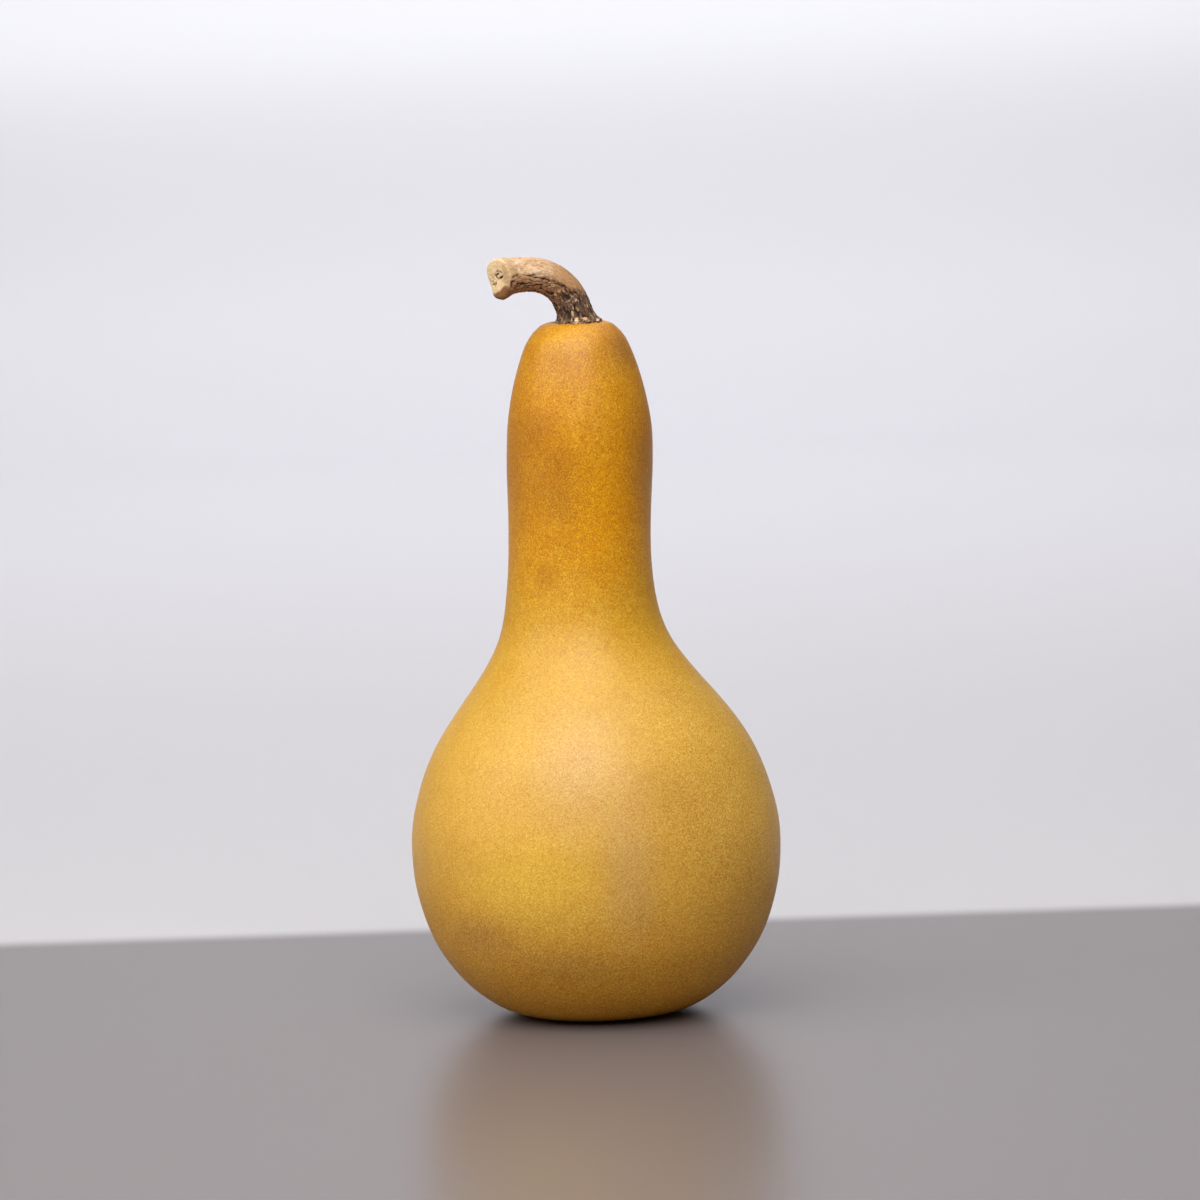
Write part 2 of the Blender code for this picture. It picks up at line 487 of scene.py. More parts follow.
def curve_through(stations, count):
    """A smooth curve through the stations, as count rows evenly spaced along it."""
    steps = np.linalg.norm(np.diff(stations[:, :3], axis=0), axis=1)
    along = np.concatenate(([0.0], np.cumsum(steps)))
    gaps = np.diff(along)
    slopes = np.diff(stations, axis=0) / gaps[:, None]
    matrix = np.eye(len(along))
    wanted = np.zeros_like(stations)
    for i in range(1, len(gaps)):
        matrix[i, i - 1:i + 2] = (gaps[i - 1], 2.0 * (gaps[i - 1] + gaps[i]), gaps[i])
        wanted[i] = 6.0 * (slopes[i] - slopes[i - 1])
    bend = np.linalg.solve(matrix, wanted)
    places = np.linspace(0.0, along[-1], count)
    i = np.clip(np.searchsorted(along, places, side="right") - 1, 0, len(gaps) - 1)
    gap = gaps[i, None]
    left, right = (along[i + 1] - places)[:, None], (places - along[i])[:, None]
    rows = (bend[i] * left ** 3 + bend[i + 1] * right ** 3) / (6.0 * gap)
    rows += (stations[i] / gap - bend[i] * gap / 6.0) * left
    rows += (stations[i + 1] / gap - bend[i + 1] * gap / 6.0) * right
    return rows, along[-1]


stalk_line, stalk_length = curve_through(STALK_ROUTE, RINGS_ALONG)
ring_angles = np.arange(POINTS_AROUND) * math.tau / POINTS_AROUND
print("stalk length", round(stalk_length / MM, 1), "mm")

# %% Directions along the route


def directions_along(line):
    """For each ring: the way forward, the way to the outside of the bend, and the third way."""
    forward = np.gradient(line, axis=0)
    forward /= np.linalg.norm(forward, axis=1)[:, None]
    lean = line[-1] - line[0]
    outside = -np.array([lean[0], lean[1], 0.0])
    outsides = []
    for way in forward:
        outside = outside - way * outside.dot(way)
        outside = outside / np.linalg.norm(outside)
        outsides.append(outside)
    outsides = np.array(outsides)
    return forward, outsides, np.cross(forward, outsides)


line_places = stalk_line[:, :3] + np.array([CROWN_X, CROWN_Y, CROWN_HEIGHT])
line_radii = stalk_line[:, 3]
forward_ways, outside_ways, side_ways = directions_along(line_places)
print("cut end looks towards", np.round(forward_ways[-1], 2))

# %% The bark's flank, cracks and creases
# An angle round the stalk is 0 degrees on top, 180 below and 270 on the viewer's side. A share
# is 0 at the foot and 1 at the cut. Noise is stretched along the grain.
BORDER_RAGGEDNESS = 0.14
BORDER_SIZE = 0.9 * MM
BORDER_STRETCH = 2.5
BORDER_FADE = (0.06, 0.08)
# Where the dark flank starts, as rows of share and of how far round from the top, 0 to 1
FLANK_EDGE = (
    (0.15, -0.12), (0.25, 0.12), (0.35, 0.42), (0.45, 0.56), (0.60, 0.58), (0.73, 0.52), (0.90, 0.47),
)
# Long cracks of the flank: share and angle of one end, then of the other, and half the width
CRACKS = (
    (0.720, 260, 0.615, 256, 0.11 * MM),
    (0.610, 254, 0.585, 242, 0.13 * MM),
    (0.845, 240, 0.700, 236, 0.16 * MM),
    (0.760, 226, 0.660, 228, 0.13 * MM),
    (0.460, 256, 0.375, 268, 0.17 * MM),
    (0.375, 268, 0.325, 261, 0.15 * MM),
    (0.340, 232, 0.225, 256, 0.15 * MM),
)
CRACK_WANDER = 0.30 * MM
CRACK_WANDER_SIZE = 0.9 * MM
CREASE_DEPTH = 0.45 * MM
CREASE_SIZE = 1.5 * MM
CREASE_STRETCH = 3.0
CREASE_WIDTH = 0.11
CREASE_SHARPNESS = 1.5
CREASE_WANDER = 0.30 * MM
CREASE_WANDER_SIZE = 1.1 * MM
CREASE_ON_TOP = 0.05
LINE_STRENGTH = 0.75
PIT_STRENGTH = 0.85
PIT_SIZE = 0.75 * MM
PIT_RANGE = (0.20, 0.45)
SCALE_DEPTH = 0.10 * MM
SCALE_SIZE = 0.9 * MM
SCALE_STRETCH = 1.8


def pressed(straight, stretch):
    """Straightened places pressed together lengthwise, so that noise at them comes out longer."""
    return straight / np.array([1.0, 1.0, stretch])


def flank_share(angles, share, straight):
    """1 on the shrunken flank below and all round near the foot, 0 on the smooth upper side."""
    ragged = noise_at(pressed(straight, BORDER_STRETCH), BORDER_SIZE, (8.0, 2.0, 1.0))
    below = 0.5 - 0.5 * np.cos(angles) + BORDER_RAGGEDNESS * ragged
    edge = amount_at(share, FLANK_EDGE)
    return ease(below, edge - BORDER_FADE[0], edge + BORDER_FADE[1])


def long_cracks(angles, share, straight):
    """1 in the middle of each long crack, falling to 0 beside it."""
    depth = np.zeros_like(angles)
    wander = CRACK_WANDER * noise_at(straight, CRACK_WANDER_SIZE, (1.0, 5.0, 9.0))
    for first, first_angle, last, last_angle, width in CRACKS:
        run = (share - first) / (last - first)
        middle = np.radians(first_angle + (last_angle - first_angle) * np.clip(run, 0.0, 1.0))
        across = (angles - middle) * line_radii.mean() + wander
        beyond = np.clip(np.maximum(-run, run - 1.0), 0.0, None) * abs(last - first) * stalk_length
        depth = np.maximum(depth, np.exp(-(across / width) ** 2 - (beyond / (2.0 * width)) ** 2))
    return depth


def bark_relief(straight, flank, cracks):
    """Height of the bark and how deep each point lies in a crease, from 0 to 1."""
    shifts = ((1, 2, 3), (4, 5, 6), (7, 8, 9))
    wander = np.stack([noise_at(straight, CREASE_WANDER_SIZE, shift) for shift in shifts], axis=-1)
    bent = pressed(straight, CREASE_STRETCH) + CREASE_WANDER * wander
    from_line = np.abs(noise_at(bent, CREASE_SIZE, (0.3, 6.1, 2.2))) / CREASE_WIDTH
    lines = (1.0 - np.clip(from_line, 0.0, 1.0)) ** CREASE_SHARPNESS
    pits = ease(noise_at(bent, PIT_SIZE, (5.0, 1.7, 8.8)), *PIT_RANGE)
    crease = np.clip(LINE_STRENGTH * lines + PIT_STRENGTH * pits, 0.0, 1.0)
    crease = crease * (CREASE_ON_TOP + (1.0 - CREASE_ON_TOP) * flank)
    crease = np.maximum(crease, cracks)
    scales = noise_at(pressed(straight, SCALE_STRETCH), SCALE_SIZE, (2.0, 9.0, 4.0))
    return SCALE_DEPTH * scales - CREASE_DEPTH * crease, crease


# %% The foot, the knobs, the rim and the notch behind it
RIDGES = 5
RIDGE_DEPTH = 0.05
RIDGE_TWIST = 0.5
RIDGE_LOSS = 0.7
RIDGES_FADE = (0.80, 0.97)
FOOT_SPREAD_OUTSIDE = 2.5 * MM
FOOT_SPREAD_INSIDE = 1.3 * MM
FOOT_SPREAD_HEIGHT = 1.1 * MM
FOOT_SPREAD_LIMIT = 1.75 * MM
FOOT_LOBES = 7
FOOT_LOBE_DEPTH = 0.22
FOOT_LOBE_SWAY = 1.7
FOOT_LOBE_TURN = 1.3
# Knobs and flats of the swollen end: degrees, share, height, half width in degrees, half length
END_KNOBS = (
    (168, 0.905, 0.80 * MM, 24, 0.026),
    (205, 0.975, 0.70 * MM, 24, 0.026),
    (112, 1.010, -0.85 * MM, 36, 0.060),
    (48, 1.000, 0.40 * MM, 24, 0.050),
    (160, 1.000, 0.30 * MM, 14, 0.030),
    (192, 0.985, 0.30 * MM, 20, 0.040),
)
LIP_OVERHANG = 1.4 * MM
LIP_STARTS = 0.80
LIP_NARROWNESS = 8
RIM_ROUNDING = 1.0 * MM
RIM_DEPTH = 0.75
# How far the pale tint of the cut runs back over the rim, as rows of degrees and millimetres
TINT_REACH = (
    (60, 0.7), (150, 1.2), (200, 2.6), (212, 2.4), (228, 0.7), (238, 0.4),
    (252, 0.6), (272, 1.3), (286, 1.9), (300, 1.3), (330, 0.7),
)
TINT_RAGGEDNESS = 0.25
TINT_LUMPS = 1.2 * MM
TINT_SOFTNESS = (0.12 * MM, 0.35)
# The notch behind the rim on the viewer's side, a hollow painted dark as the shadow in it: its angle,
# half width and way to the cut
NOTCH_ANGLE = math.radians(243)
NOTCH_WIDTH = math.radians(12)
NOTCH_TO_END = 0.80 * MM
NOTCH_LENGTH = 0.38 * MM
NOTCH_DEPTH = 0.45 * MM


def cut_tint(angles, to_end, straight):
    """1 on the pale knuckle round the cut, 0 further back, softer where it reaches further."""
    reach = amount_at(np.degrees(angles), TINT_REACH) * MM
    reach = reach * (1.0 + TINT_RAGGEDNESS * noise_at(straight, TINT_LUMPS, (6.0, 6.0, 1.0)))
    softness = TINT_SOFTNESS[0] + TINT_SOFTNESS[1] * reach
    return 1.0 - ease(to_end, reach - softness, reach + softness)


def notch_behind_rim(angles, to_end):
    around = (angles - NOTCH_ANGLE) / NOTCH_WIDTH
    back = (to_end - NOTCH_TO_END) / NOTCH_LENGTH
    return np.exp(-around ** 2 - back ** 2)


def foot_spread(angles, rise):
    """How far the foot spreads over the crown, in lobes, more on the outside of the bend."""
    middle = (FOOT_SPREAD_OUTSIDE + FOOT_SPREAD_INSIDE) / 2.0
    swing = (FOOT_SPREAD_OUTSIDE - FOOT_SPREAD_INSIDE) / 2.0
    lobes = np.cos(FOOT_LOBES * angles + FOOT_LOBE_SWAY * np.sin(angles) + FOOT_LOBE_TURN)
    reach = (middle + swing * np.cos(angles)) * np.exp(-rise / FOOT_SPREAD_HEIGHT)
    return np.minimum(reach, FOOT_SPREAD_LIMIT) * (1.0 + FOOT_LOBE_DEPTH * lobes)


def end_knobs(angles, share):
    """How far the knobs and flats of the swollen end stand out."""
    rise = np.zeros_like(angles)
    for degrees, knob_share, height, half_width, half_length in END_KNOBS:
        turn = np.degrees(np.angle(np.exp(1j * (angles - math.radians(degrees)))))
        spread = (turn / half_width) ** 2 + ((share - knob_share) / half_length) ** 2
        rise = rise + height * np.exp(-spread)
    return rise


# %% The bark, ring by ring


def bark_grid():
    """Places, straightened places, creases, flank and cut tint of the bark, ring by ring."""
    angles, share = np.meshgrid(ring_angles, np.linspace(0.0, 1.0, RINGS_ALONG))
    along = share * stalk_length
    to_end = stalk_length - along
    furrows = (np.cos(RIDGES * (angles + RIDGE_TWIST * share)) - 1.0) / 2.0
    depth = RIDGE_DEPTH * (1.0 - RIDGE_LOSS * ease(share, *RIDGES_FADE))
    radii = line_radii[:, None] * (1.0 + depth * furrows)
    out = outside_ways[:, None, :] * np.cos(angles)[..., None]
    out = out + side_ways[:, None, :] * np.sin(angles)[..., None]
    rise = line_places[:, None, 2] + out[..., 2] * radii - CROWN_HEIGHT
    radii = radii + foot_spread(angles, rise) + end_knobs(angles, share)
    straight = np.stack((radii * np.cos(angles), radii * np.sin(angles), along), axis=-1)
    tint = cut_tint(angles, to_end, straight)
    flank = flank_share(angles, share, straight) * (1.0 - tint)
    relief, crease = bark_relief(straight, flank, long_cracks(angles, share, straight))
    notch = notch_behind_rim(angles, to_end)
    inside = np.clip(1.0 - to_end / RIM_ROUNDING, 0.0, 1.0)
    rounding = RIM_ROUNDING * RIM_DEPTH * (1.0 - np.sqrt(1.0 - inside ** 2))
    radii = radii + relief - NOTCH_DEPTH * notch - rounding
    below = (0.5 - 0.5 * np.cos(angles)) ** LIP_NARROWNESS
    overhang = LIP_OVERHANG * ease(share, LIP_STARTS, 1.0) * below
    places = line_places[:, None, :] + out * radii[..., None] + forward_ways[-1] * overhang[..., None]
    # The notch joins the crease share, so the material paints it with the creases' shade
    return places, straight, np.maximum(crease, notch), flank, tint


bark_places, bark_straight, bark_crease, bark_flank, bark_tint = bark_grid()
print("bark points", bark_places.shape[0] * bark_places.shape[1])

# %% [markdown]
# ## The cut face
#
# The knife left a slightly swollen face with a dull grain, and the sap channels dried into
# short pits, painted dark as the shade in them. The grid goes on over the rim, in rings that
# shrink to the middle, so the face has no seam with the bark and is fine enough to hold the
# pits as real hollows.

# %% Rings from the rim to the middle, with sap pits
RINGS_ON_CUT = 40
# Each pit: how far out from the middle of the face, how far to the side, its turn in degrees,
# its half length, its half width and its depth. Lengths are shares of the face's radius.
SAP_PITS = (
    (0.39, -0.10, -66, 0.12, 0.050, 0.5),
    (0.32, -0.38, 63, 0.13, 0.050, 0.6),
    (0.21, -0.02, -75, 0.18, 0.050, 1.0),
    (0.08, 0.08, 42, 0.16, 0.050, 1.0),
    (0.00, -0.33, -72, 0.21, 0.060, 1.0),
    (-0.36, 0.21, -45, 0.15, 0.055, 0.9),
    (-0.40, 0.56, -62, 0.14, 0.060, 0.9),
    (0.07, 0.42, 20, 0.07, 0.050, 0.4),
    (-0.20, 0.62, 110, 0.08, 0.050, 0.5),
)
CUT_PIT_DEPTH = 0.50 * MM
CUT_BULGE = 0.12 * MM
CUT_GRAIN = 0.10 * MM
CUT_GRAIN_SIZE = 0.7 * MM
CUT_EDGE = 0.12


def cut_face_grid():
    """Places, straightened places and pit shares of the rings inside the rim, and the middle."""
    rim = bark_places[-1]
    middle = rim.mean(axis=0)
    shares = 1.0 - np.arange(1, RINGS_ON_CUT + 1)[:, None] / RINGS_ON_CUT
    outward, sideways = shares * np.cos(ring_angles), shares * np.sin(ring_angles)
    pits = np.zeros_like(outward)
    for out, side, degrees, half_length, half_width, depth in SAP_PITS:
        turn = math.radians(degrees)
        x, y = outward - out, sideways - side
        lengthwise = (x * math.cos(turn) + y * math.sin(turn)) / half_length
        crosswise = (y * math.cos(turn) - x * math.sin(turn)) / half_width
        pits = np.maximum(pits, depth * np.exp(-lengthwise ** 2 - crosswise ** 2))
    places = middle + shares[..., None] * (rim - middle)
    grain = noise_at(places, CUT_GRAIN_SIZE, (3.3, 3.3, 3.3))
    rise = CUT_BULGE * (1.0 - shares ** 2) - CUT_PIT_DEPTH * pits + CUT_GRAIN * grain
    rise = rise * ease(1.0 - shares, 0.0, CUT_EDGE)
    places = places + forward_ways[-1] * rise[..., None]
    radius = line_radii[-1]
    ends = np.full_like(outward, stalk_length)
    return places, np.stack((outward * radius, sideways * radius, ends), axis=-1), pits


cut_places, cut_straight, cut_pits = cut_face_grid()
print("cut face rings", len(cut_places))

# %% Sew the rings together
# How dark the pits are painted, as shade, for each share of their depth
PIT_DARKNESS = 1.4


def ring_faces(first, second):
    """Squares between two rings of points that start at first and second."""
    faces = []
    for i in range(POINTS_AROUND):
        after = (i + 1) % POINTS_AROUND
        faces.append((first + i, first + after, second + after, second + i))
    return faces


def in_rows(bark, cut, middles):
    """One row a point: the bark's rings, the cut's rings, the cut's middle, the foot's middle."""
    rings = np.concatenate((bark, cut[:-1]))
    return np.concatenate((rings.reshape(-1, *rings.shape[2:]), middles))


def make_stalk():
    middles = [cut_places[-1].mean(axis=0), bark_places[0].mean(axis=0)]
    points = in_rows(bark_places, cut_places, middles)
    last_ring = (len(bark_places) + len(cut_places) - 2) * POINTS_AROUND
    faces = []
    for first in range(0, last_ring, POINTS_AROUND):
        faces.extend(ring_faces(first, first + POINTS_AROUND))
    middle_of_cut, middle_of_foot = len(points) - 2, len(points) - 1
    for i in range(POINTS_AROUND):
        after = (i + 1) % POINTS_AROUND
        faces.append((last_ring + i, last_ring + after, middle_of_cut))
        faces.append((after, i, middle_of_foot))
    mesh = bpy.data.meshes.new("stalk_bark")
    mesh.from_pydata(points.tolist(), [], faces)
    middles = [cut_straight[-1].mean(axis=0), [0.0, 0.0, 0.0]]
    straight = in_rows(bark_straight, cut_straight, middles)
    store(mesh, "straight", straight, "FLOAT_VECTOR", "vector")
    dark_pits = np.clip(PIT_DARKNESS * cut_pits, 0.0, 1.0)
    store(mesh, "crease", in_rows(bark_crease, dark_pits, [0.0, 0.0]))
    store(mesh, "on_cut", in_rows(bark_tint, np.ones_like(cut_pits), [1.0, 0.0]))
    store(mesh, "flank", in_rows(bark_flank, np.zeros_like(cut_pits), [0.0, 1.0]))
    mesh.shade_smooth()
    return add_object("stalk_bark", mesh)


stalk = make_stalk()
print("stalk faces", len(stalk.data.polygons))

# %% [markdown]
# ## Effects that more than one finish uses
#
# Rind and bark are both mottled by age. An effect that two materials share is a node group:
# it is built once, it has named inputs and outputs, and each material gives it its own
# values. The shader that makes light and gloss stays in each material.

# %% Make and place node groups


def new_group(name, inputs, outputs):
    """An empty node group. Inputs are names with start values, outputs names with kinds."""
    group = bpy.data.node_groups.new(name, "ShaderNodeTree")
    for label, start in inputs.items():
        kind = "NodeSocketVector" if isinstance(start, tuple) else "NodeSocketFloat"
        group.interface.new_socket(label, in_out="INPUT", socket_type=kind).default_value = start
    for label, kind in outputs.items():
        group.interface.new_socket(label, in_out="OUTPUT", socket_type=kind)
    given = group.nodes.new("NodeGroupInput").outputs
    wanted = group.nodes.new("NodeGroupOutput").inputs
    return group, given, wanted


def place_group(tree, group, values):
    return add_node(tree, "ShaderNodeGroup", values, node_tree=group).outputs


# %% Blotches: soft patches of a given size, as a mask from 0 to 1


def build_blotches():
    inputs = {"Vector": (0.0, 0.0, 0.0), "Size": 0.01, "Cover": 0.5, "Softness": 0.15, "Seed": 0.0}
    group, given, wanted = new_group("blotches", inputs, {"Mask": "NodeSocketFloat"})
    scale = arithmetic(group, "DIVIDE", 1.0, given["Size"])
    values = {"Vector": given["Vector"], "W": given["Seed"], "Scale": scale}
    values.update(Detail=3.0, Roughness=0.55)
    cloud = add_node(group, "ShaderNodeTexNoise", values, noise_dimensions="4D").outputs["Fac"]
    edge = arithmetic(group, "SUBTRACT", 1.0, given["Cover"])
    low = arithmetic(group, "SUBTRACT", edge, given["Softness"])
    high = arithmetic(group, "ADD", edge, given["Softness"])
    group.links.new(to_range(group, cloud, low, high), wanted["Mask"])
    return group


blotches = build_blotches()


def blotched(tree, places, size, cover, softness, seed, strength=None):
    """A mask of blotches, scaled to a strength where one is given."""
    values = {"Vector": places, "Size": size, "Cover": cover, "Softness": softness, "Seed": seed}
    mask = place_group(tree, blotches, values)["Mask"]
    return mask if strength is None else arithmetic(tree, "MULTIPLY", mask, strength)


# %% Speckle: fine light and dark grain, as a tint round white that multiplies a colour
SPECKLE_GREEN_POWER = 2.3
SPECKLE_BLUE_POWER = 4.5
DARKEST_SPECKLE = 0.05


def build_speckle():
    """The dark grains are also redder, because less green and blue come back from them."""
    inputs = {"Vector": (0.0, 0.0, 0.0), "Size": 0.001, "Strength": 0.1}
    outputs = {"Tint": "NodeSocketColor", "Height": "NodeSocketFloat"}
    group, given, wanted = new_group("speckle", inputs, outputs)
    scale = arithmetic(group, "DIVIDE", 1.0, given["Size"])
    values = {"Vector": given["Vector"], "Scale": scale}
    values.update(Detail=2.0, Roughness=0.6, Distortion=0.4)
    grain = add_node(group, "ShaderNodeTexNoise", values).outputs["Fac"]
    centred = arithmetic(group, "SUBTRACT", grain, 0.5)
    scaled = arithmetic(group, "MULTIPLY", centred, given["Strength"])
    value = arithmetic(group, "MAXIMUM", arithmetic(group, "ADD", scaled, 1.0), DARKEST_SPECKLE)
    green = arithmetic(group, "POWER", value, SPECKLE_GREEN_POWER)
    blue = arithmetic(group, "POWER", value, SPECKLE_BLUE_POWER)
    tint = add_node(group, "ShaderNodeCombineColor", {"Red": value, "Green": green, "Blue": blue})
    group.links.new(tint.outputs["Color"], wanted["Tint"])
    group.links.new(grain, wanted["Height"])
    return group


speckle = build_speckle()


def speckled(tree, colour, places, size, strength):
    """The colour with speckle over it, and the height of the speckle."""
    grain = place_group(tree, speckle, {"Vector": places, "Size": size, "Strength": strength})
    return mix_colours(tree, 1.0, colour, grain["Tint"], "MULTIPLY"), grain["Height"]


def bump_normal(tree, height, strength, distance):
    values = {"Strength": strength, "Distance": distance, "Height": height}
    return add_node(tree, "ShaderNodeBump", values).outputs["Normal"]


# %% Stain and light spot: a soft spot at a named place on the object, with a ragged edge, for real stains and for painted highlight and shade


def build_stain_and_light_spot():
    inputs = {"Vector": (0.0, 0.0, 0.0), "Place": (0.0, 0.0, 0.0), "Reach": (0.01, 0.01, 0.01)}
    inputs.update(Raggedness=0.3, Notches=160.0)
    group, given, wanted = new_group("stain_and_light_spot", inputs, {"Mask": "NodeSocketFloat"})
    from_middle = vector_arithmetic(group, "SUBTRACT", given["Vector"], given["Place"])[0]
    scaled = vector_arithmetic(group, "DIVIDE", from_middle, given["Reach"])[0]
    length = vector_arithmetic(group, "LENGTH", scaled)["Value"]
    values = {"Vector": given["Vector"], "Scale": given["Notches"], "Detail": 3.0}
    cloud = add_node(group, "ShaderNodeTexNoise", values).outputs["Fac"]
    wobble = arithmetic(group, "SUBTRACT", cloud, 0.5)
    ragged = arithmetic(group, "MULTIPLY", wobble, given["Raggedness"])
    reach = arithmetic(group, "ADD", length, ragged)
    group.links.new(to_range(group, reach, 0.0, 1.0, 1.0, 0.0), wanted["Mask"])
    return group


stain_and_light_spot = build_stain_and_light_spot()


def lay_stains_and_painted_light(tree, colour, places, rows, raggedness, notches, sharpen=None):
    """Lays stains and spots of painted highlight and shade over a colour. Rows are place and reach in
    millimetres, colour and strength.
    """
    for place, reach, spot_colour, strength in rows:
        values = {"Vector": places, "Raggedness": raggedness, "Notches": notches}
        values.update(Place=[v * MM for v in place], Reach=[v * MM for v in reach])
        mask = place_group(tree, stain_and_light_spot, values)["Mask"]
        if sharpen:
            mask = to_range(tree, mask, *sharpen)
        colour = mix_colours(tree, arithmetic(tree, "MULTIPLY", mask, strength), colour, spot_colour)
    return colour


print("node groups", [group.name for group in (blotches, speckle, stain_and_light_spot)])

# %% [markdown]
# ## The finish of the rind
#
# A dried rind is hard and slightly waxy: it has a broad soft sheen and no sharp mirror. Its
# colour is ochre yellow on the belly and a deeper orange brown up the neck, with soft brown
# clouds, and all of it carries a light and dark grain, half a millimetre to two across. One
# picture wrapped round the gourd would stretch somewhere, so the colour is mixed from masks
# that fill space, and the skin shows what they are where it passes through them.
# Some patches are painted light: a pale highlight on the front of the belly, and shade low down.

# %% Rind colours, as height and colour from the base to the crown. The lowest bands are lightened with painted light from below
RIND_BANDS = (
    (0.004, (0.86, 0.375, 0.017)),
    (0.014, (0.82, 0.370, 0.022)),
    (0.030, (0.84, 0.430, 0.050)),
    (0.055, (0.78, 0.430, 0.064)),
    (0.086, (0.68, 0.375, 0.047)),
    (0.104, (0.72, 0.360, 0.020)),
    (0.126, (0.76, 0.325, 0.006)),
    (0.145, (0.70, 0.278, 0.003)),
    (0.162, (0.70, 0.288, 0.003)),
    (0.176, (0.62, 0.258, 0.006)),
)
BAND_WANDER = 0.008
PALE_CLOUD = (0.84, 0.480, 0.065)
BROWN_CLOUD = (0.46, 0.185, 0.010)
# Blotches: size, cover, softness, seed and perhaps strength
BAND_BLOTCHES = (0.020, 0.50, 0.25, 2.0)
PALE_BLOTCHES = (0.009, 0.42, 0.20, 5.0, 0.20)
BROWN_BLOTCHES = (0.006, 0.42, 0.16, 11.0)
# The belly's finish turns into the neck's between these heights
NECK = (0.088, 0.130)
BROWN_STRENGTH = (*NECK, 0.12, 0.26)


def height_bands(tree, height):
    """The rind's colour by height, as a ramp between the named bands, with painted light in the lowest.
    """
    top = RIND_BANDS[-1][0]
    share = to_range(tree, height, 0.0, top, smooth=False)
    ramp = add_node(tree, "ShaderNodeValToRGB", {"Fac": share})
    marks = ramp.color_ramp.elements
    marks[1].position = 1.0
    for band_height, colour in RIND_BANDS[1:-1]:
        marks.new(band_height / top)
    for mark, (band_height, colour) in zip(marks, RIND_BANDS):
        mark.position = band_height / top
        mark.color = (*colour, 1.0)
    return ramp.outputs["Color"]


def rind_base_colour(tree, places, height):
    """Colour of the clean rind by height, with painted light low down, and soft clouds all round it."""
    centred = arithmetic(tree, "SUBTRACT", blotched(tree, places, *BAND_BLOTCHES), 0.5)
    shift = arithmetic(tree, "MULTIPLY", centred, BAND_WANDER)
    colour = height_bands(tree, arithmetic(tree, "ADD", height, shift))
    pale = blotched(tree, places, *PALE_BLOTCHES)
    brown = blotched(tree, places, *BROWN_BLOTCHES, to_range(tree, height, *BROWN_STRENGTH))
    return lay_over(tree, colour, (pale, PALE_CLOUD), (brown, BROWN_CLOUD))


# %% Stains and painted light of the rind: place and reach in millimetres, colour, strength
GOLDEN = (0.90, 0.530, 0.060)
# Paler, greyer patches where the broad highlight and a dim reflection fall on the belly: painted
# highlight, with a copy on the back
PAINTED_HIGHLIGHT = (0.70, 0.405, 0.125)
OCHRE = (0.62, 0.335, 0.030)
# Browner patches low on the belly, front and back: painted shade and a painted dark reflection from
# below
PAINTED_LOW_SHADE = (0.56, 0.265, 0.050)
GREYISH = (0.60, 0.290, 0.042)
BURNT = (0.50, 0.175, 0.002)
TAWNY = (0.55, 0.215, 0.012)
DEEP_ORANGE = (0.88, 0.345, 0.001)
AMBER = (0.94, 0.410, 0.002)
STRAW = (0.68, 0.315, 0.005)
UMBER = (0.42, 0.175, 0.030)
FADED_BROWN = (0.52, 0.250, 0.070)
CORK = (0.16, 0.085, 0.035)
RIND_STAINS_AND_PAINTED_LIGHT = (
    ((-17, -44, 40), (30, 30, 20), GOLDEN, 0.85),
    ((8.5, -46.5, 47), (11, 20, 33), PAINTED_HIGHLIGHT, 0.65),
    ((-4.5, -43, 71), (17, 22, 28), PAINTED_HIGHLIGHT, 0.65),
    ((-20, -30, 96), (16, 26, 28), OCHRE, 0.55),
    ((-31, -34, 26), (22, 22, 9), PAINTED_LOW_SHADE, 0.60),
    ((-9, -41, 20), (22, 18, 8.5), PAINTED_LOW_SHADE, 0.40),
    ((20, -40, 61), (22, 22, 20), GREYISH, 0.45),
    ((37, -25, 33), (18, 22, 24), GREYISH, 0.30),
    ((-12.6, -14.2, 155.7), (11, 13, 9), BURNT, 0.75),
    ((-5.5, -18, 147), (9, 12, 8), BURNT, 0.60),
    ((-17.5, -9.6, 150), (11, 18, 34), TAWNY, 0.75),
    ((-6.9, -17.6, 138.6), (12, 14, 11), TAWNY, 0.60),
    ((-10.3, -16.4, 117.1), (5.5, 7, 5.5), BURNT, 0.45),
    ((9, -16, 133), (11, 15, 27), DEEP_ORANGE, 0.70),
    ((2.5, -16.5, 137), (10, 15, 38), AMBER, 0.52),
    ((16, -8.5, 150), (8.5, 16, 28), TAWNY, 0.80),
    ((11, -7, 176.8), (10, 11, 11), UMBER, 0.80),
    ((-4.9, -14, 172.2), (10, 12, 8.5), BURNT, 0.40),
    ((-6, -12, 179.5), (11, 10, 6), STRAW, 0.70),
    ((15, 42, 42), (32, 30, 24), GOLDEN, 0.80),
    ((-12, 43, 64), (15, 22, 32), PAINTED_HIGHLIGHT, 0.60),
    ((-36, 24, 30), (20, 22, 11), PAINTED_LOW_SHADE, 0.60),
    ((8, 40, 19), (24, 20, 9), PAINTED_LOW_SHADE, 0.55),
    ((40, 12, 60), (16, 24, 26), GREYISH, 0.45),
    ((-8, 17, 148), (12, 14, 30), TAWNY, 0.70),
    ((9, 16, 129), (10, 14, 24), AMBER, 0.60),
    ((4, 18, 160), (11, 12, 9), BURNT, 0.65),
)
crown_middle = (CROWN_X / MM, CROWN_Y / MM, CROWN_HEIGHT / MM)
CROWN_STAIN = ((crown_middle, (9, 9, 6), FADED_BROWN, 0.80),)
SCAR_STAIN = (((0, 0, 0), (9, 9, 6), CORK, 0.90),)
